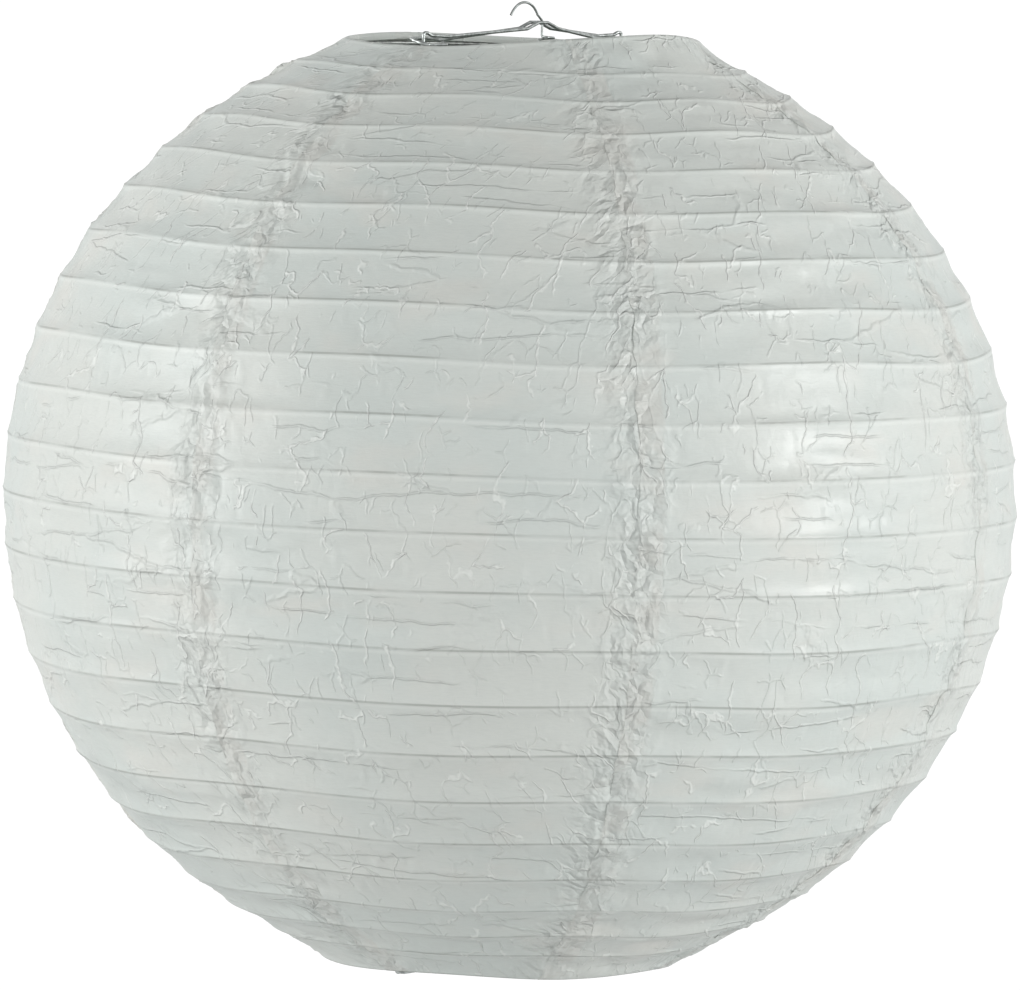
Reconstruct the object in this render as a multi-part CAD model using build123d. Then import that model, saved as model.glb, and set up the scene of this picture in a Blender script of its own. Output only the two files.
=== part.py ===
from build123d import *
import os
from math import cos, sin, radians, hypot

# ---------------------------------------------------------------------------
# Paper lantern: an oblate shade of seven paper gores over wire hoops, held
# open by a wire expander that hangs from a small swivel hook.
# Millimetres, +Z up. The origin is the point where the lantern hangs: the
# underside of the hook's crown. The expander's bars run along X.
# ---------------------------------------------------------------------------

# overall shade
shade_diameter = 400.0
shade_half_height = 191.0      # of the full ellipsoid, before the rims cut it
rim_latitude = 69.5            # parametric latitude of both rims, in degrees
crown_to_rim = 16.7            # from the hang point down to the paper's top edge
rib_count = 21                 # hoops between the two rims
rib_crowding = 0.05            # how much the hoops draw together near the rims

# paper
gore_count = 7
paper = 0.3
gore_gap = 0.3                 # between two neighbouring gores, at the rim
first_seam = 24.1              # azimuth of one seam, in degrees

# steel wire
rib_wire = 1.0
rim_wire = 1.6
frame_wire = 1.4
hook_wire = 1.0
clear = 0.35                   # between wire and paper

# expander; insets and overhangs are from the rim rings' centre line
leg_inset = 5.55
ear_overhang = 3.65            # how far the ears reach out behind the rims
ear_depth = 10.0
ear_drop = 2.4                 # ear's upper limb, from the rim ring's centre
ear_height = 2.2
post_inset = 2.35              # where the wire stands up inside the ring
post_lean = 0.8
post_bend = 2.4                # run of the bend over the post
turn_run = 1.6                 # from there the wire turns aside to its bar
turn_side = 0.8
turn_rise = 0.4
post_rise_top = 6.6            # how far the bend stands above the top ring
post_rise_low = 5.4            # and below the bottom ring
eye_rise = 3.2                 # eye's plane, from the rim ring's centre
eye_overhang = 0.85
eye_length = 14.9
eye_half_width = 4.2
eye_tilt = 0.27                # rise per mm across the top eye
eye_gate = 2.0                 # from the other wire's eye to where this bar turns level
eye_neck = 6.0                 # run of the bar's end down to its eye
neck_rise = 0.9
eye_slant_in = 1.5
eye_slant_out = 1.4
eye_nose = 2.0                 # half the eye's straight far end
eye_close = 1.2                # where the wire's end stops, from the bar's plane
strand_over_eye = 0.6          # between a bar and the eye it passes over
shank_clear = 0.8              # between each bar and the hook's shank
hump_back = 2.2                # hump's middle, behind the hook's shank
hump_half = 3.2
hump_rise = 5.4
hump_foot = 10.5
foot_rise = 3.0
bend = 1.0                     # bend radius of the frame wire's centre line

# hook
crown_radius = 10.6
crown_half = 9.0
shank_x = 12.2
shank_top = 6.8
coil_half = 2.6
coil_drop = 13.1
coil_pitch = 1.5
coil_lead = 0.2                # sideways step where the coil starts
tail_bend = 0.9
tail_end = 24.0
hook_bend = 0.9

shade_radius = shade_diameter / 2
half_rim_height = shade_half_height * sin(radians(rim_latitude))
centre_z = -crown_to_rim - half_rim_height
ring_total = rib_count + 2


def latitude(k):
    """Parametric latitude of hoop k, from 0 at the top rim to the last at the bottom rim."""
    middle = (ring_total - 1) / 2
    t = (middle - k) / middle
    return rim_latitude * t * (1 + rib_crowding * (1 - t * t))


def edge_point(k):
    """Radius and height of the paper's outer edge at hoop k, from the shade's centre."""
    a = radians(latitude(k))
    return shade_radius * cos(a), shade_half_height * sin(a)


def outward(k):
    """Unit normal of the shade at hoop k, as radius and height."""
    a = radians(latitude(k))
    nr = cos(a) / shade_radius
    nz = sin(a) / shade_half_height
    n = hypot(nr, nz)
    return nr / n, nz / n


def inside(k, depth):
    """A point behind the paper's outer edge at hoop k."""
    r, z = edge_point(k)
    nr, nz = outward(k)
    return r - nr * depth, z - nz * depth


def hoop(k, wire):
    """A level wire ring just behind the paper."""
    r, z = inside(k, paper + clear + wire / 2)
    return Pos(0, 0, centre_z + z) * Torus(r, wire / 2)


def gore(index):
    """One paper gore: a slice of revolution, straight from hoop to hoop."""
    outer = [edge_point(k) for k in range(ring_total)]
    inner = [inside(k, paper) for k in range(ring_total)]
    corners = outer + inner[::-1]
    points = [(r, 0, centre_z + z) for r, z in corners]
    profile = make_face(Polyline(*points, close=True))
    pitch = 360.0 / gore_count
    rim_radius = outer[0][0]
    gap = gore_gap / rim_radius * 57.29578
    slice_ = revolve(profile, axis=Axis.Z, revolution_arc=pitch - gap)
    return Rot(0, 0, first_seam + pitch * index + gap / 2) * slice_


def wire_along(path, diameter):
    """Round wire swept along a path."""
    start = Plane(origin=path @ 0, z_dir=path % 0)
    return sweep(start * Circle(diameter / 2), path=path)


def half_bar(ring_r, ring_z, up, post_rise, hump):
    """The left wire's corners from its leg to its eye. up is 1 at the top rim and -1 at the
    bottom one, and hump is where the bar's hump stands, or None for a straight bar."""
    leg_x, post_x = ring_r - leg_inset, ring_r - post_inset
    ear_reach, eye_outer = ring_r + ear_overhang, ring_r + eye_overhang
    eye_inner = eye_outer - eye_length
    strand_y = (hook_wire + frame_wire) / 2 + shank_clear
    z_leg = ring_z - up * (ear_drop + ear_depth)
    z_low = ring_z - up * (ear_drop + ear_height)
    z_ear = ring_z - up * ear_drop
    z_post = ring_z + up * post_rise
    z_strand = ring_z + up * (eye_rise + frame_wire + strand_over_eye)
    z_eye = ring_z + up * eye_rise
    x_top = -post_x + post_lean
    x_turn = x_top + post_bend + turn_run
    points = [(-leg_x, 0, z_leg), (-ear_reach, 0, z_low), (-ear_reach, 0, z_ear)]
    points += [(-post_x, 0, z_ear), (x_top, 0, z_post), (x_top + post_bend, 0, z_post)]
    points += [(x_turn, -turn_side, z_strand + up * turn_rise)]
    points += [(-eye_inner + eye_gate, -strand_y, z_strand)]
    if hump is not None:
        points += [(hump - hump_foot, -strand_y, z_strand + foot_rise)]
        points += [(hump - hump_half, -strand_y, z_strand + hump_rise)]
        points += [(hump + hump_half, -strand_y, z_strand + hump_rise)]
        points += [(hump + hump_foot, -strand_y, z_strand + foot_rise)]
    tilt = 0 if hump is None else eye_tilt
    points += [(eye_inner - eye_neck, -strand_y, z_eye + up * neck_rise)]
    x_in, x_out = eye_inner + eye_slant_in, eye_outer - eye_slant_out
    loop = [(eye_inner - eye_slant_in, -strand_y), (x_in, -eye_half_width), (x_out, -eye_half_width)]
    loop += [(eye_outer, -eye_nose), (eye_outer, eye_nose), (x_out, eye_half_width)]
    loop += [(x_in, eye_half_width), (eye_inner, eye_close)]
    points += [(x, y, z_eye - up * tilt * y) for x, y in loop]
    return points


def expander_wire(hump):
    """One of the two bent wires of the expander, leg on the -X side."""
    ring_r, ring_z = inside(0, paper + clear + rim_wire / 2)
    top = half_bar(ring_r, centre_z + ring_z, 1, post_rise_top, hump)
    low = half_bar(ring_r, centre_z - ring_z, -1, post_rise_low, None)
    corners = low[::-1] + top
    return wire_along(FilletPolyline(*corners, radius=bend), frame_wire)


def hook():
    """Open wire hook with a shank between the bar's strands and a coil under them."""
    top = hook_wire / 2
    side_z = top - crown_radius + (crown_radius**2 - crown_half**2) ** 0.5
    crown = ThreePointArc((-crown_half, 0, side_z), (0, 0, top), (crown_half, 0, side_z))
    x0 = shank_x
    x1 = shank_x + 2 * coil_half
    z0 = -coil_drop
    corners = [(crown_half, 0, side_z), (x0, 0, -shank_top), (x0, 0, z0)]
    x_tail = x0 + coil_half
    corners += [(x0 + coil_lead, -coil_half, z0 - coil_pitch / 15)]
    corners += [(x1, -coil_half, z0 - coil_pitch * 4 / 15), (x1, coil_half, z0 - coil_pitch * 8 / 15)]
    corners += [(x0, coil_half, z0 - coil_pitch), (x_tail, 0, z0 - coil_pitch - tail_bend)]
    corners += [(x_tail, 0, -tail_end)]
    run = FilletPolyline(*corners, radius=hook_bend)
    path = Wire(crown.edges() + run.edges())
    return wire_along(path, hook_wire)


def build():
    parts = {"hook": hook()}
    hump = shank_x - hump_back
    parts["expander_wire_left"] = expander_wire(hump)
    parts["expander_wire_right"] = Rot(0, 0, 180) * expander_wire(-hump)
    parts["top_rim_ring"] = hoop(0, rim_wire)
    parts["bottom_rim_ring"] = hoop(ring_total - 1, rim_wire)
    for k in range(1, rib_count + 1):
        parts[f"rib_{k:02d}"] = hoop(k, rib_wire)
    for j in range(gore_count):
        parts[f"gore_{j + 1}"] = gore(j)
    return parts


os.makedirs("parts", exist_ok=True)
for name, shape in build().items():
    shape.label = name
    export_step(shape, f"parts/{name}.step")
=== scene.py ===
import math
import bpy
import numpy as np
from mathutils import Matrix, Vector


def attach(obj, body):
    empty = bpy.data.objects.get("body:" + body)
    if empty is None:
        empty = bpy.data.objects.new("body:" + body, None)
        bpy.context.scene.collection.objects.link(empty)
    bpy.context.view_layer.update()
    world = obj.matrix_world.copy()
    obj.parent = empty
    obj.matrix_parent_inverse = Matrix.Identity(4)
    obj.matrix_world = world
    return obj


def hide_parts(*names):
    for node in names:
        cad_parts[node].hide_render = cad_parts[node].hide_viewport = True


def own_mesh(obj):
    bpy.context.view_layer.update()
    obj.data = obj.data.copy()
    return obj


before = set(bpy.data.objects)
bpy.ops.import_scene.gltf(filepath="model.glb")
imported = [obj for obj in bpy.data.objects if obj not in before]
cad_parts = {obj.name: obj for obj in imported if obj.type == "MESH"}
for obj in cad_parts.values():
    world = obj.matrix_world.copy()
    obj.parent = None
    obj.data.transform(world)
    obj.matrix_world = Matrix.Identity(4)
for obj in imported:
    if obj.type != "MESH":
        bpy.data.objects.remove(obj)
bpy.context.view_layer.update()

# ---------------------------------------------------------------------------
# Paper lantern. Shape functions work in millimetres from the shade's centre
# and are turned into metres when a mesh is made.
# ---------------------------------------------------------------------------
MM = 0.001
RADIUS, HALF_HEIGHT = 200.0, 191.0
RIM_LATITUDE, CROWDING, RIBS = 69.5, 0.05, 21
LAST = RIBS + 1                     # hoop number of the bottom rim
CROWN_TO_RIM = 16.7                 # from the hook's crown down to the top rim
CENTRE_Z = -CROWN_TO_RIM - HALF_HEIGHT * math.sin(math.radians(RIM_LATITUDE))
GORES, FIRST_SEAM = 7, 24.1         # the first seam's azimuth in degrees
PITCH = 360.0 / GORES
RIB_WIRE, RIM_WIRE = 1.0, 1.6
WIRE_INSET = 0.3 + 0.35             # paper plus clearance, outside a wire
PAPER_THICKNESS = 0.07
LAP = 10.0                          # width of a glued lap
VIEW_AZIMUTH = 215.7                # where the camera stands, as a model azimuth

rng = np.random.default_rng(4071)


# --- smooth seeded noise ----------------------------------------------------
def lattice(ix, iy, iz, seed):
    """Hash of integer points to values from -1 to 1."""
    h = (ix * 374761393 + iy * 668265263 + iz * 2147483647 + seed * 974634777)
    h = h.astype(np.int64) & 0xFFFFFFFF
    h = ((h ^ (h >> 13)) * 1274126177) & 0xFFFFFFFF
    h = ((h ^ (h >> 16)) * 2246822519) & 0xFFFFFFFF
    h = h ^ (h >> 15)
    return h / float(0x7FFFFFFF) - 1.0


def noise(x, y, z, seed):
    """Trilinear value noise with smoothed steps, about -1 to 1."""
    x, y, z = np.broadcast_arrays(x, y, z)
    fx, fy, fz = np.floor(x), np.floor(y), np.floor(z)
    tx, ty, tz = x - fx, y - fy, z - fz
    tx, ty, tz = (t * t * t * (t * (t * 6 - 15) + 10) for t in (tx, ty, tz))
    ix, iy, iz = fx.astype(np.int64), fy.astype(np.int64), fz.astype(np.int64)
    total = 0.0
    for dx in (0, 1):
        wx = tx if dx else 1 - tx
        for dy in (0, 1):
            wy = ty if dy else 1 - ty
            for dz in (0, 1):
                wz = tz if dz else 1 - tz
                total = total + wx * wy * wz * lattice(ix + dx, iy + dy, iz + dz, seed)
    return total


def round_noise(az, y, across, along, seed):
    """Noise on the shade with features of a given width and height in mm, closed round the shade."""
    a = np.radians(az)
    k = RADIUS / across
    return noise(np.cos(a) * k + 31.7, np.sin(a) * k + 11.3, y / along + 5.1, seed)


# --- the shade's profile ----------------------------------------------------
def latitude(k):
    """Latitude of hoop k in degrees; hoops crowd a little towards the rims."""
    t = (LAST / 2 - k) / (LAST / 2)
    return RIM_LATITUDE * t * (1 + CROWDING * (1 - t * t))


HOOP_LAT = np.radians([latitude(k) for k in range(LAST + 1)])
HOOP_R = RADIUS * np.cos(HOOP_LAT)
HOOP_Z = HALF_HEIGHT * np.sin(HOOP_LAT)
NORMAL = np.stack([np.cos(HOOP_LAT) / RADIUS, np.sin(HOOP_LAT) / HALF_HEIGHT], -1)
NORMAL /= np.linalg.norm(NORMAL, axis=1)[:, None]
BAND = np.hypot(np.diff(HOOP_R), np.diff(HOOP_Z))
ARC = np.concatenate([[0.0], np.cumsum(BAND)])
ARC -= ARC[-1] / 2                  # 0 at the equator, growing downwards


LEAST_RISE = 0.15                   # of the top rim's paper above its ring


def seam(az):
    """Degrees from the nearest seam to the left, 0 to one pitch."""
    return (az - FIRST_SEAM) % PITCH


def hump(b, place, width):
    """A smooth hump of height 1 on a rim; its place and width are in radians."""
    away = (b - place + math.pi) % (2 * math.pi) - math.pi
    return np.exp(-(away / width) ** 2)


def rim_wave(az):
    """How far the top rim's paper stands up above its ring, in mm; lowest at the frame's ears."""
    b = np.radians(az - VIEW_AZIMUTH)
    wave = 2.3 + 2.3 * np.sin(2 * b + 0.10) + 0.35 * np.sin(5 * b + 1.0)
    return np.maximum(wave + 2.6 * hump(b, 0.85, 0.5) - 2.2 * hump(b, 3.9, 0.7), LEAST_RISE)


def low_wave(az):
    """How far the bottom rim's paper lies above its ring, in mm; negative is below it."""
    b = np.radians(az - VIEW_AZIMUTH)
    return -2.3 + 0.9 * np.sin(2 * b + 0.6) - 0.25 * np.sin(5 * b) - 1.8 * hump(b, 0.45, 0.6)


def hoop_shift(k, az):
    """How far hoop k is pushed down along the paper at an azimuth, in mm."""
    lat = np.interp(k, np.arange(LAST + 1), HOOP_LAT)
    pull = 0.25 + 1.35 * np.abs(np.sin(lat))
    pull = pull * np.clip(np.minimum(k, LAST - k) / 1.5, 0, 1)
    to_middle = np.where(lat > 0, 1.0, -1.0) * np.clip(np.abs(lat) / 0.25, 0, 1)
    sway = np.cos(np.radians(seam(az) * GORES)) * pull * to_middle
    wander = round_noise(az, k * 9.0, 85.0, 14.0, 3) * 0.75
    wander = wander * np.clip(np.minimum(k, LAST - k), 0, 1)
    return sway + wander


def hoop_point(k, az, inset):
    """Radius and height of whole hoop k at azimuths az, a depth inside the paper's outer face."""
    r, z = HOOP_R[k], HOOP_Z[k]
    nr, nz = NORMAL[k]
    s = hoop_shift(float(k), az)
    s = np.broadcast_to(s, np.shape(az))
    return r - nr * inset + nz * s, z - nz * inset - nr * s


# --- creases ----------------------------------------------------------------
# level folds in each gore, as a share of the usual
PANEL_FOLDS = (0.75, 1.1, 1.0, 0.65, 1.5, 0.9, 1.0)
POLE_LATITUDE = 0.75                # in radians; bands beyond it have fewer upright creases


class Crease:
    """A short broken line that stands up or sinks in the paper."""

    def __init__(self, az, y, angle, length, width, height, bends, wander):
        steps = np.linspace(-0.5, 0.5, bends + 1) * length
        side = rng.normal(0, wander, bends + 1)
        side[0] *= 0.4
        side[-1] *= 0.4
        c, s = math.cos(angle), math.sin(angle)
        self.az, self.y = az, y
        self.points = np.stack([steps * c - side * s, steps * s + side * c], -1)
        self.length, self.width, self.height = length, width, height

    def reach(self):
        return np.abs(self.points).max() + 3 * self.width


def lay_creases():
    """All creases of the shade, kept in its own coordinates so that both layers of a lap share them."""
    found = []
    for band in range(LAST):
        top, tall = ARC[band], BAND[band]
        r = (HOOP_R[band] + HOOP_R[band + 1]) / 2
        per_degree = r * math.pi / 180
        for g in range(GORES):
            left = FIRST_SEAM + g * PITCH
            near_pole = abs(HOOP_LAT[band]) > POLE_LATITUDE
            # crumples along the seam's own edge
            for _ in range(rng.poisson(4.2)):
                found.append(Crease(
                    left + rng.normal(0.0, 1.6) / per_degree, top + rng.uniform(0.12, 0.88) * tall,
                    math.pi / 2 + rng.normal(0, 0.35), rng.uniform(0.25, 0.75) * tall,
                    rng.uniform(0.7, 1.2), rng.choice((-1, 1)) * rng.uniform(0.35, 0.9), 4, 1.2))
            # crumples over the lap
            for _ in range(rng.poisson(4.0)):
                found.append(Crease(
                    left + rng.uniform(1.0, 17.0) / per_degree, top + rng.uniform(0.15, 0.85) * tall,
                    math.pi / 2 + rng.normal(0, 0.8), rng.uniform(0.2, 0.6) * tall,
                    rng.uniform(0.7, 1.2), rng.choice((-1, 1)) * rng.uniform(0.25, 0.7), 3, 1.3))
            # long slanted branches that start at the seam's knots
            for _ in range(rng.poisson(1.5)):
                side = rng.choice((-1, 1))
                long = rng.uniform(9, 22)
                found.append(Crease(
                    left + side * long * 0.5 / per_degree, top + rng.uniform(0.25, 0.8) * tall,
                    side * rng.choice((-1, 1)) * rng.uniform(0.2, 0.75), long,
                    rng.uniform(0.8, 1.3), rng.choice((-1, 1)) * rng.uniform(0.25, 0.6), 4, 0.8))
            # small upright creases in the middle of a panel
            width = PITCH * per_degree
            for _ in range(rng.poisson(0.055 * width * (0.5 if near_pole else 1.0))):
                found.append(Crease(
                    left + rng.uniform(0.12, 0.95) * PITCH, top + rng.uniform(0.25, 0.8) * tall,
                    math.pi / 2 + rng.normal(0, 0.45), rng.uniform(0.12, 0.45) * tall,
                    rng.uniform(0.65, 1.0), rng.choice((-1, 1)) * rng.uniform(0.2, 0.55), 3, 1.0))
            # long level folds
            for _ in range(rng.poisson(1.9 * PANEL_FOLDS[g])):
                long = rng.uniform(0.12, 0.42) * width
                found.append(Crease(
                    left + rng.uniform(0.05, 0.97) * PITCH, top + rng.uniform(0.18, 0.82) * tall,
                    rng.normal(0, 0.07), long,
                    rng.uniform(0.9, 2.2), rng.choice((-1, 1)) * rng.uniform(0.2, 0.65), 5, 0.9))
    return found


CREASES = lay_creases()


def press_creases(az, y, r):
    """Height and sharpness of the creases at grid points; az and y are grids, r one value per row."""
    height = np.zeros_like(az)
    edge = np.zeros_like(az)
    rows_y = y[:, 0]
    low, high = az[:, 0].min(), az[:, -1].max()
    for c in CREASES:
        reach = c.reach()
        i0, i1 = np.searchsorted(rows_y, (c.y - reach, c.y + reach))
        if i1 - i0 < 2:
            continue
        per = r[(i0 + i1) // 2] * math.pi / 180
        at = low + (c.az - low) % 360.0
        spread = reach / per + 1.0
        for place in (at, at - 360.0):
            if place + spread < low or place - spread > high:
                continue
            row = az[(i0 + i1) // 2]
            j0, j1 = np.searchsorted(row, (place - spread, place + spread))
            if j1 - j0 < 2:
                continue
            x = (az[i0:i1, j0:j1] - place) * (r[i0:i1, None] * math.pi / 180)
            v = y[i0:i1, j0:j1] - c.y
            best = np.full(x.shape, 1e9)
            for a, b in zip(c.points[:-1], c.points[1:]):
                d = b - a
                t = ((x - a[0]) * d[0] + (v - a[1]) * d[1]) / max(d @ d, 1e-9)
                t = np.clip(t, 0, 1)
                best = np.minimum(best, (x - a[0] - t * d[0]) ** 2 + (v - a[1] - t * d[1]) ** 2)
            ends = 1 - np.clip(np.hypot(x, v) / (c.length * 0.62), 0, 1) ** 3
            lift = np.exp(-np.sqrt(best) / c.width) * ends
            height[i0:i1, j0:j1] += c.height * lift
            sharp = np.exp(-best / 0.7) * ends * min(1, abs(c.height) * 3)
            edge[i0:i1, j0:j1] = np.maximum(edge[i0:i1, j0:j1], sharp)
    return height, edge


# --- one gore ---------------------------------------------------------------
STEPS = np.array([0, 0.035, 0.09, 0.17, 0.27, 0.38, 0.5, 0.62, 0.73, 0.83, 0.91, 0.965])
COLUMNS = 168
SHEET_APART = 0.31                  # in metres
PANEL_SLACK = (0.8, 1.05, 1.0, 0.7, 1.35, 0.95, 1.0)    # slack waves in each gore, likewise
HOLLOW = 0.038                      # depth between two hoops, as a share of their distance
FOLD_HEIGHT, FOLD_WIDTH = 0.16, 0.7  # the sharper fold over a wire
WAVE, RUMPLE, GRAIN = 0.55, 0.16, 0.09  # heights of slack waves, rumples and the finest rumples
WAVES_FREE, CREASES_FREE = 2.6, 1.6  # distance from a hoop at which they reach full height
LAP_LIFT, LAP_FADE = 0.045, 4.0     # keeps a lap's two layers apart, and fades out over this width
HEM_STEPS, HEM_TUCK = 5, 0.10       # turns of the fold round a rim ring, and how much tighter it gets
HEM_DROPS = (0.6, 1.2)              # rows of the hem inside the ring
# the hem is kept free of the painted wire shadow and its painted highlight
HEM_AWAY = 3.0                      # distance from a wire given to the hem, so that no line shows in it


def sheet_rows():
    """Hoop coordinate of every row between the rims, with the band and the place in it."""
    s, band, f = [], [], []
    for k in range(LAST):
        s += list(k + STEPS)
        band += [k] * len(STEPS)
        f += list(STEPS)
    s.append(float(LAST))
    band.append(LAST - 1)
    f.append(1.0)
    return np.array(s), np.array(band), np.array(f)


def gore_grid(index):
    s, band, f = sheet_rows()
    r = np.interp(s, np.arange(LAST + 1), HOOP_R)
    z = np.interp(s, np.arange(LAST + 1), HOOP_Z)
    arc = np.interp(s, np.arange(LAST + 1), ARC)
    nr = np.interp(s, np.arange(LAST + 1), NORMAL[:, 0])
    nz = np.interp(s, np.arange(LAST + 1), NORMAL[:, 1])
    norm = np.hypot(nr, nz)
    nr, nz = nr / norm, nz / norm
    left = FIRST_SEAM + PITCH * index
    lap = LAP / r * 180 / math.pi
    u = np.linspace(0, 1, COLUMNS)
    y = np.repeat(arc[:, None], COLUMNS, 1)
    # both edges were cut and glued by hand, so they wander a little
    ragged = [0.9 * noise(arc / 11.0 + 7.7, e * 3.1, index * 5.3, 17)
              + 0.5 * noise(arc / 3.4, e * 3.1, index * 5.3, 19) for e in (0, 1)]
    start, end = (e / r * 180 / math.pi for e in ragged)
    az = left + start[:, None] + u[None, :] * (PITCH + lap + end - start)[:, None]
    into = (az - left) * (r[:, None] * math.pi / 180)              # mm from the left edge
    past = (az - left - PITCH) * (r[:, None] * math.pi / 180)      # mm past the next seam
    # paper between the hoops is pulled in, unevenly
    tall = BAND[band]
    hollow = 4 * f * (1 - f)
    deep = HOLLOW * tall[:, None] * (1 + 0.45 * round_noise(az, y, 42, 17, 5))
    out = -deep * hollow[:, None]
    # the fold over a wire is sharper than the band's own curve
    near = np.minimum(f, 1 - f) * tall
    out += FOLD_HEIGHT * np.exp(-(near / FOLD_WIDTH) ** 2)[:, None]
    # broad slack waves, fine rumples and creases, all held flat at the hoops
    free = np.clip(near / WAVES_FREE, 0, 1)[:, None]
    at_seam = np.minimum(np.abs(past), np.abs(into))
    rough = 0.35 + 2.0 * np.exp(-(at_seam / 12.0) ** 2)
    out += free * WAVE * PANEL_SLACK[index] * round_noise(az, y, 30, 9, 7)
    out += free * RUMPLE * rough * round_noise(az, y, 6.5, 5.0, 11)
    out += free * GRAIN * rough * round_noise(az, y, 2.9, 2.6, 13)
    height, edge = press_creases(az, y, r)
    out += height * np.clip(near / CREASES_FREE, 0.12, 1)[:, None]
    # the two layers of a lap keep apart
    upper = 1 - np.clip((into - LAP) / LAP_FADE, 0, 1)
    lower = np.clip((past + LAP_FADE) / LAP_FADE, 0, 1)
    out += LAP_LIFT * upper - LAP_LIFT * lower
    # hoops wander up and down
    shift = np.zeros_like(az)
    for k in range(LAST + 1):
        weight = np.clip(1 - np.abs(s - k), 0, 1)
        rows = np.nonzero(weight)[0]
        shift[rows] += weight[rows, None] * hoop_shift(float(k), az[rows])
    rise = rim_wave(az) * np.clip(1 - s, 0, 1)[:, None]
    rise = rise + low_wave(az) * np.clip(s - LAST + 1, 0, 1)[:, None]
    rr = r[:, None] + nr[:, None] * out + nz[:, None] * shift
    zz = z[:, None] + nz[:, None] * out - nr[:, None] * shift + rise
    lap_mask = np.clip((LAP - into) / 0.8 + 0.5, 0, 1) + np.clip(past / 0.8 + 0.5, 0, 1)
    facts = {
        "hoop_mm": np.repeat(near[:, None], COLUMNS, 1),
        "lap": np.clip(lap_mask, 0, 1),
        "crease": edge,
        "seam_mm": at_seam,
        "down_mm": np.repeat((f * tall)[:, None], COLUMNS, 1),
        # place on the flat sheet, apart from the other sheets
        "flat_x": into * MM + SHEET_APART * index,
        "flat_y": y * MM,
    }
    return az, rr, zz, facts, out


def hem_rows(az, out, top):
    """The paper folded over a rim ring to its inside, from the sheet's edge inwards."""
    k = 0 if top else LAST
    sign = 1 if top else -1
    nr, nz = NORMAL[k]
    ring = WIRE_INSET + RIM_WIRE / 2
    cr, cz = HOOP_R[k] - nr * ring, HOOP_Z[k] - nz * ring
    rise = rim_wave(az) if top else low_wave(az)
    start = math.atan2(abs(nz), nr)
    turns = start + (math.pi - start) * np.linspace(0, 1, HEM_STEPS + 1)[1:]
    rows = []
    for i, t in enumerate(turns):
        p = ring + out * (1 - i / HEM_STEPS) - HEM_TUCK * i / HEM_STEPS
        rows.append((cr + p * math.cos(t), cz + sign * p * math.sin(t) + rise))
    for drop in HEM_DROPS:
        p = ring - HEM_TUCK
        rows.append((cr - p + 0 * az, cz - sign * drop + rise))
    return rows


def make_mesh(name, verts, faces, facts=None):
    """A smooth-shaded mesh object, with one float attribute per fact."""
    mesh = bpy.data.meshes.new(name)
    mesh.from_pydata(verts.tolist(), [], faces.tolist())
    mesh.polygons.foreach_set("use_smooth", np.ones(len(mesh.polygons), bool))
    for key, values in (facts or {}).items():
        layer = mesh.attributes.new(key, "FLOAT", "POINT")
        layer.data.foreach_set("value", np.ascontiguousarray(values, np.float32).ravel())
    mesh.update()
    obj = bpy.data.objects.new(name, mesh)
    bpy.context.scene.collection.objects.link(obj)
    return obj


def make_gore(index, material):
    az, rr, zz, facts, out = gore_grid(index)
    above = hem_rows(az[0], out[0], True)[::-1]
    below = hem_rows(az[-1], out[-1], False)
    rr = np.concatenate([np.array([p[0] for p in above]), rr, np.array([p[0] for p in below])])
    zz = np.concatenate([np.array([p[1] for p in above]), zz, np.array([p[1] for p in below])])
    n_up, n_low = len(above), len(below)
    az = np.concatenate([np.repeat(az[:1], n_up, 0), az, np.repeat(az[-1:], n_low, 0)])
    full = {}
    for key, values in facts.items():
        full[key] = np.concatenate([
            np.repeat(values[:1], n_up, 0), values, np.repeat(values[-1:], n_low, 0)])
    full["hoop_mm"][:n_up] = HEM_AWAY
    full["hoop_mm"][-n_low:] = HEM_AWAY
    a = np.radians(az)
    verts = np.stack([rr * np.cos(a), rr * np.sin(a), zz + CENTRE_Z], -1).reshape(-1, 3) * MM
    rows, cols = az.shape
    i = np.arange(rows * cols).reshape(rows, cols)
    faces = np.stack([i[:-1, :-1], i[1:, :-1], i[1:, 1:], i[:-1, 1:]], -1).reshape(-1, 4)
    gore = make_mesh(f"gore_{index + 1}_paper", verts, faces, full)
    # the cut edges stay sharp, so that they don't shade the paper beside them
    ends = np.empty(len(gore.data.edges) * 2, np.int32)
    gore.data.edges.foreach_get("vertices", ends)
    row, col = np.divmod(ends.reshape(-1, 2), cols)
    border = np.zeros(len(row), bool)
    for line, last in ((row, rows - 1), (col, cols - 1)):
        border |= (line == 0).all(1) | (line == last).all(1)
    sharp = gore.data.attributes.new("sharp_edge", "BOOLEAN", "EDGE")
    sharp.data.foreach_set("value", border)
    thick = gore.modifiers.new("paper", "SOLIDIFY")
    thick.thickness = PAPER_THICKNESS * MM
    thick.offset = -1.0
    gore.data.materials.append(material)
    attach(gore, "expander")
    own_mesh(gore)
    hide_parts(f"gore_{index + 1}")
    return gore


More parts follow.
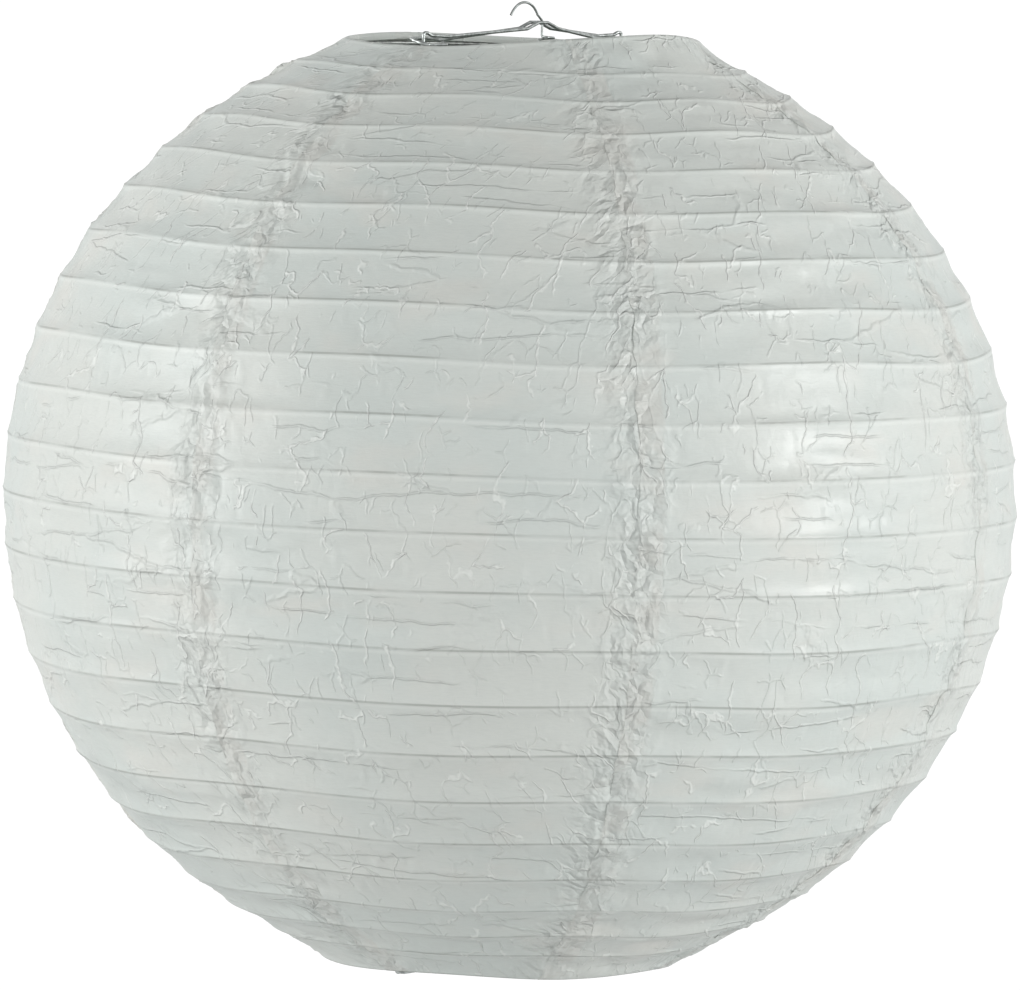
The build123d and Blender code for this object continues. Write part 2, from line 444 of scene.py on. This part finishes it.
# --- wires ------------------------------------------------------------------
def make_hoop(k, material):
    """A rib's wire, following the paper's small ups and downs."""
    n, sides = 360, 8
    az = np.arange(n) * 360.0 / n
    r, z = hoop_point(k, az, WIRE_INSET + RIB_WIRE / 2)
    a = np.radians(az)
    turn = np.arange(sides) * 2 * math.pi / sides
    rr = r[:, None] + RIB_WIRE / 2 * np.cos(turn)[None, :]
    zz = z[:, None] + RIB_WIRE / 2 * np.sin(turn)[None, :] + CENTRE_Z
    verts = np.stack([rr * np.cos(a)[:, None], rr * np.sin(a)[:, None], zz], -1).reshape(-1, 3) * MM
    i = np.arange(n * sides).reshape(n, sides)
    j = np.roll(i, -1, 0)
    faces = np.stack([i, j, np.roll(j, -1, 1), np.roll(i, -1, 1)], -1).reshape(-1, 4)
    hoop = make_mesh(f"rib_{k:02d}_wire", verts, faces)
    hoop.data.materials.append(material)
    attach(hoop, f"rib_{k:02d}")
    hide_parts(f"rib_{k:02d}")
    return hoop


# --- materials --------------------------------------------------------------
class Nodes:
    """Short hand for building a node tree."""

    def __init__(self, material):
        material.use_nodes = True
        self.tree = material.node_tree
        self.tree.nodes.clear()
        self.out = self.tree.nodes.new("ShaderNodeOutputMaterial")

    def add(self, kind, **values):
        node = self.tree.nodes.new(kind)
        for key, value in values.items():
            setattr(node, key, value)
        return node

    def link(self, a, b):
        self.tree.links.new(a, b)

    def math(self, op, a, b=None, clamp=False):
        node = self.tree.nodes.new("ShaderNodeMath")
        node.operation, node.use_clamp = op, clamp
        for i, v in enumerate((a, b)):
            if v is None:
                continue
            if isinstance(v, (int, float)):
                node.inputs[i].default_value = v
            else:
                self.link(v, node.inputs[i])
        return node.outputs[0]

    def mix(self, share, a, b):
        node = self.tree.nodes.new("ShaderNodeMix")
        node.data_type = "RGBA"
        for socket, v in ((node.inputs[0], share), (node.inputs[6], a), (node.inputs[7], b)):
            if isinstance(v, (int, float)):
                socket.default_value = v
            elif isinstance(v, tuple):
                socket.default_value = (*v, 1.0)
            else:
                self.link(v, socket)
        return node.outputs[2]

    def ramp(self, value, stops):
        """Smooth step of a value; stops are where it starts and ends, and its results there."""
        node = self.tree.nodes.new("ShaderNodeMapRange")
        node.interpolation_type = "SMOOTHSTEP"
        self.link(value, node.inputs[0])
        for i, v in enumerate(stops):
            node.inputs[i + 1].default_value = v
        return node.outputs[0]

    def fact(self, name):
        node = self.tree.nodes.new("ShaderNodeAttribute")
        node.attribute_name = name
        return node.outputs["Fac"]

    def noise(self, vector, scale, detail=3.0, rough=0.5):
        node = self.tree.nodes.new("ShaderNodeTexNoise")
        self.link(vector, node.inputs["Vector"])
        node.inputs["Scale"].default_value = scale
        node.inputs["Detail"].default_value = detail
        node.inputs["Roughness"].default_value = rough
        return node.outputs["Fac"]

    def place(self, scale=(1, 1, 1)):
        coord = self.tree.nodes.new("ShaderNodeTexCoord")
        mapping = self.tree.nodes.new("ShaderNodeMapping")
        mapping.inputs["Scale"].default_value = scale
        self.link(coord.outputs["Object"], mapping.inputs["Vector"])
        return mapping.outputs[0]


PAPER = (0.700, 0.726, 0.694)
PAPER_WARM = (0.735, 0.718, 0.672)
PAPER_COOL = (0.662, 0.706, 0.680)
LAP_TINT = (0.66, 0.655, 0.615)
# painted shade: the colour of the wires' shadow seen through the paper
WIRE_SHADOW_LINE = (0.20, 0.215, 0.185)
# partly real crease whitening, partly a painted highlight; also the painted highlight below each wire
CREASE_WHITE_AND_HIGHLIGHT = (0.84, 0.87, 0.84)
FIBRE = (0.56, 0.60, 0.57)
# painted highlight on the crests of thin creases
THIN_CREASE_HIGHLIGHT = (0.90, 0.92, 0.89)
THROUGH = 0.30                      # share of the light that goes through the paper


def paper_material():
    """White tissue-like paper: fibres, mottling, darker laps, painted shade of the wires as thin dark
    lines, painted highlights beside them and on crease crests.
    """
    m = bpy.data.materials.new("rice_paper")
    n = Nodes(m)
    base = n.place()
    cloud = n.ramp(n.noise(base, 14, 4, 0.55), (0.35, 0.65, 0, 1))
    colour = n.mix(cloud, PAPER, PAPER_COOL)
    warm = n.ramp(n.noise(n.place((1, 1, 2.2)), 21, 3, 0.5), (0.52, 0.72, 0, 0.40))
    colour = n.mix(warm, colour, PAPER_WARM)
    fibre = n.noise(n.place((1, 1, 7)), 260, 2, 0.6)
    colour = n.mix(n.ramp(fibre, (0.40, 0.70, 0.0, 0.16)), colour, FIBRE)
    # doubled paper in the laps
    lap = n.fact("lap")
    blot = n.ramp(n.noise(base, 60, 3, 0.6), (0.38, 0.64, 0.02, 0.48))
    colour = n.mix(n.math("MULTIPLY", lap, blot), colour, LAP_TINT)
    # crests of creases whitened: partly the paper's own whitening where creased, partly a painted
    # highlight
    crest_white_and_highlight = n.math("MULTIPLY", n.fact("crease"), 0.14)
    colour = n.mix(crest_white_and_highlight, colour, CREASE_WHITE_AND_HIGHLIGHT)
    # painted shade of the wire behind the fold: its shadow through the paper as a thin dark line, with
    # a painted highlight as a paler line below it
    near = n.fact("hoop_mm")
    down = n.fact("down_mm")
    patch = n.ramp(n.noise(n.place((1, 1, 0.4)), 22, 3, 0.6), (0.38, 0.60, 0.22, 1.0))
    line = n.ramp(near, (0.15, 0.65, 0.46, 0.0))
    colour = n.mix(n.math("MULTIPLY", line, patch), colour, WIRE_SHADOW_LINE)
    # painted highlight: a paler line just below each wire
    highlight_on = n.ramp(down, (0.7, 1.3, 0.0, 1.0))
    highlight_off = n.ramp(down, (1.5, 2.8, 0.30, 0.0))
    colour = n.mix(n.math("MULTIPLY", highlight_on, highlight_off), colour, CREASE_WHITE_AND_HIGHLIGHT)
    # surface
    rough = n.ramp(n.noise(base, 60, 3, 0.6), (0.3, 0.7, 0.36, 0.52))
    seam = n.ramp(n.fact("seam_mm"), (3.0, 17.0, 1.0, 0.06))
    flat_x, flat_y = n.fact("flat_x"), n.fact("flat_y")

    def flat(stretch=(1, 1)):
        """Place on the flat sheet in metres, stretched along its two directions."""
        join = n.add("ShaderNodeCombineXYZ")
        n.link(n.math("MULTIPLY", flat_x, stretch[0]), join.inputs[0])
        n.link(n.math("MULTIPLY", flat_y, stretch[1]), join.inputs[1])
        return join.outputs[0]

    warp = n.add("ShaderNodeTexNoise", noise_dimensions="2D")
    warp.inputs["Scale"].default_value = 70
    warp.inputs["Detail"].default_value = 3
    n.link(flat(), warp.inputs["Vector"])

    def cells(scale, stretch, shake):
        """Distance to the nearest edge of warped cells on the flat sheet, in cell sizes."""
        mixed = n.add("ShaderNodeVectorMath", operation="MULTIPLY_ADD")
        n.link(warp.outputs["Color"], mixed.inputs[0])
        mixed.inputs[1].default_value = (shake, shake, shake)
        n.link(flat(stretch), mixed.inputs[2])
        cell = n.add("ShaderNodeTexVoronoi", feature="DISTANCE_TO_EDGE", voronoi_dimensions="2D")
        cell.inputs["Scale"].default_value = scale
        n.link(mixed.outputs[0], cell.inputs["Vector"])
        return cell.outputs["Distance"]

    def some(scale, low, high, stretch=(1, 1)):
        """Patches, 0 or 1 with soft borders, that say where a kind of crease is."""
        patch = n.add("ShaderNodeTexNoise", noise_dimensions="2D")
        patch.inputs["Scale"].default_value = scale
        patch.inputs["Detail"].default_value = 2
        n.link(flat(stretch), patch.inputs["Vector"])
        return n.ramp(patch.outputs["Fac"], (low, high, 0.0, 1.0))

    # heights in mm: crumpled facets by the seams, thin broken creases elsewhere, long level folds
    crushed = n.math("MULTIPLY", cells(95, (1, 0.8), 0.018), 3.7)
    by_seam = n.math("MULTIPLY", seam, n.ramp(n.noise(base, 24, 2, 0.5), (0.34, 0.60, 0.25, 1.0)))
    height = n.math("MULTIPLY", crushed, by_seam)
    thin = n.ramp(cells(66, (1, 0.55), 0.012), (0.0, 0.045, 0.36, 0.0))
    thin = n.math("MULTIPLY", thin, some(62, 0.51, 0.57, (1, 0.8)))
    height = n.math("ADD", height, thin)
    # painted highlight: thin crease crests lightened as if catching the light
    colour = n.mix(n.math("MULTIPLY", thin, 1.3, True), colour, THIN_CREASE_HIGHLIGHT)
    small = n.ramp(cells(130, (1, 0.6), 0.008), (0.0, 0.080, 0.24, 0.0))
    some_small = n.math("ADD", some(75, 0.52, 0.60), n.math("MULTIPLY", seam, 0.5), True)
    small = n.math("MULTIPLY", small, some_small)
    height = n.math("ADD", height, small)
    level = n.ramp(cells(46, (0.28, 1.8), 0.007), (0.0, 0.060, 0.40, 0.0))
    level = n.math("MULTIPLY", level, some(20, 0.50, 0.60, (1, 2.2)))
    height = n.math("ADD", height, level)
    height = n.math("ADD", height, n.math("MULTIPLY", fibre, 0.05))
    height = n.math("ADD", height, n.math("MULTIPLY", n.noise(base, 420, 3, 0.6), 0.045))
    bump = n.add("ShaderNodeBump")
    bump.inputs["Strength"].default_value = 1.0
    bump.inputs["Distance"].default_value = MM
    n.link(height, bump.inputs["Height"])
    skin = n.add("ShaderNodeBsdfPrincipled")
    n.link(colour, skin.inputs["Base Color"])
    n.link(rough, skin.inputs["Roughness"])
    n.link(bump.outputs[0], skin.inputs["Normal"])
    skin.inputs["Specular IOR Level"].default_value = 0.5
    skin.inputs["Coat Weight"].default_value = 0.18
    skin.inputs["Coat Roughness"].default_value = 0.30
    through = n.add("ShaderNodeBsdfTranslucent")
    n.link(colour, through.inputs["Color"])
    blend = n.add("ShaderNodeMixShader")
    blend.inputs[0].default_value = THROUGH
    n.link(skin.outputs[0], blend.inputs[1])
    n.link(through.outputs[0], blend.inputs[2])
    n.link(blend.outputs[0], n.out.inputs["Surface"])
    return m


def steel_material(name, dark, light, rough_low, rough_high):
    """Galvanised wire: drawn along its length, with dull and bright patches."""
    m = bpy.data.materials.new(name)
    n = Nodes(m)
    patch = n.ramp(n.noise(n.place(), 420, 4, 0.6), (0.35, 0.68, 0, 1))
    colour = n.mix(patch, dark, light)
    stain = n.ramp(n.noise(n.place(), 90, 3, 0.5), (0.50, 0.72, 0, 0.5))
    colour = n.mix(stain, colour, tuple(c * 0.55 for c in dark))
    rough = n.ramp(n.noise(n.place(), 700, 3, 0.6), (0.3, 0.7, rough_low, rough_high))
    bump = n.add("ShaderNodeBump")
    bump.inputs["Strength"].default_value = 0.35
    bump.inputs["Distance"].default_value = 0.00008
    n.link(n.noise(n.place(), 1500, 3, 0.6), bump.inputs["Height"])
    skin = n.add("ShaderNodeBsdfPrincipled")
    n.link(colour, skin.inputs["Base Color"])
    n.link(rough, skin.inputs["Roughness"])
    n.link(bump.outputs[0], skin.inputs["Normal"])
    skin.inputs["Metallic"].default_value = 0.95
    n.link(skin.outputs[0], n.out.inputs["Surface"])
    return m


def paint(obj, material):
    for s in obj.material_slots:
        s.material = material
    if not obj.material_slots:
        obj.data.materials.append(material)


# --- stage, light and camera ------------------------------------------------
def direction(azimuth, elevation):
    a, e = math.radians(azimuth), math.radians(elevation)
    return Vector((math.cos(e) * math.cos(a), math.cos(e) * math.sin(a), math.sin(e)))


CENTRE = Vector((0, 0, CENTRE_Z * MM))


def area_light(name, azimuth, elevation, distance, size, power):
    """A white disc light, aimed at the shade's centre."""
    data = bpy.data.lights.new(name, "AREA")
    data.shape = "DISK"
    data.size = size
    data.energy = power
    lamp = bpy.data.objects.new(name, data)
    lamp.location = CENTRE + direction(azimuth, elevation) * distance
    lamp.rotation_euler = (-direction(azimuth, elevation)).to_track_quat("-Z", "Y").to_euler()
    bpy.context.scene.collection.objects.link(lamp)


WORLD_FADE = (0.22, 0.80)           # heights of a direction between which the world dims
LEVEL_LIGHT, OVERHEAD_LIGHT = 1.06, 0.42


def make_world():
    """White all round at eye level, and dimmer overhead and below."""
    world = bpy.data.worlds.new("studio")
    bpy.context.scene.world = world
    world.use_nodes = True
    tree = world.node_tree
    tree.nodes.clear()
    out = tree.nodes.new("ShaderNodeOutputWorld")
    back = tree.nodes.new("ShaderNodeBackground")
    coord = tree.nodes.new("ShaderNodeTexCoord")
    split = tree.nodes.new("ShaderNodeSeparateXYZ")
    tree.links.new(coord.outputs["Generated"], split.inputs[0])
    flat = tree.nodes.new("ShaderNodeMath")
    flat.operation = "ABSOLUTE"
    tree.links.new(split.outputs["Z"], flat.inputs[0])
    fade = tree.nodes.new("ShaderNodeMapRange")
    fade.interpolation_type = "SMOOTHSTEP"
    for i, value in enumerate((*WORLD_FADE, LEVEL_LIGHT, OVERHEAD_LIGHT)):
        fade.inputs[i + 1].default_value = value
    tree.links.new(flat.outputs[0], fade.inputs[0])
    back.inputs["Color"].default_value = (1, 1, 1, 1)
    tree.links.new(fade.outputs[0], back.inputs["Strength"])
    tree.links.new(back.outputs[0], out.inputs["Surface"])


def make_floor():
    """A plain pale disc well below the lantern."""
    n, radius, z = 96, 1.15, -0.62
    a = np.arange(n) * 2 * math.pi / n
    ring = np.stack([radius * np.cos(a), radius * np.sin(a), np.full(n, z)], -1)
    mesh = bpy.data.meshes.new("floor")
    mesh.from_pydata(ring.tolist(), [], [list(range(n))])
    floor = bpy.data.objects.new("floor", mesh)
    bpy.context.scene.collection.objects.link(floor)
    m = bpy.data.materials.new("floor")
    m.use_nodes = True
    skin = m.node_tree.nodes["Principled BSDF"]
    skin.inputs["Base Color"].default_value = (0.86, 0.86, 0.86, 1)
    skin.inputs["Roughness"].default_value = 0.9
    mesh.materials.append(m)


ELEVATION, DISTANCE, ROLL = 4.0, 3.9, 1.7
HALF_WIDTH_SHARE = 507.0 / 1020.0   # of the frame's width, from the lantern's middle to its edge
RAISE = 4.0 / 1020.0                # how far the lantern's middle lies below the frame's
SENSOR = 36.0


def make_camera():
    data = bpy.data.cameras.new("camera")
    data.sensor_width = SENSOR
    slope = RADIUS * MM / math.sqrt(DISTANCE**2 - (RADIUS * MM) ** 2)
    data.lens = SENSOR * HALF_WIDTH_SHARE / slope
    data.clip_start, data.clip_end = 0.05, 60.0
    data.shift_y = RAISE
    camera = bpy.data.objects.new("camera", data)
    view = direction(VIEW_AZIMUTH, ELEVATION)
    spin = (-view).to_track_quat("-Z", "Y").to_matrix() @ Matrix.Rotation(math.radians(ROLL), 3, "Z")
    camera.matrix_world = Matrix.Translation(CENTRE + view * DISTANCE) @ spin.to_4x4()
    bpy.context.scene.collection.objects.link(camera)
    bpy.context.scene.camera = camera


bpy.context.scene.view_settings.view_transform = "Standard"
make_camera()
make_world()
make_floor()
area_light("right", VIEW_AZIMUTH + 72, 10, 2.6, 0.9, 34)
area_light("left", VIEW_AZIMUTH - 80, 8, 2.8, 1.8, 45)
area_light("front", VIEW_AZIMUTH + 20, 26, 3.4, 1.4, 7)

paper = paper_material()
bright = steel_material("galvanised_wire", (0.30, 0.32, 0.31), (0.55, 0.58, 0.57), 0.28, 0.46)
dull = steel_material("hoop_wire", (0.26, 0.27, 0.26), (0.52, 0.54, 0.52), 0.34, 0.58)
for node in ("hook", "expander_wire_left", "expander_wire_right"):
    paint(bpy.data.objects[node], bright)
for node in ("top_rim_ring", "bottom_rim_ring"):
    paint(bpy.data.objects[node], dull)
for k in range(1, LAST):
    make_hoop(k, dull)
for g in range(GORES):
    make_gore(g, paper)
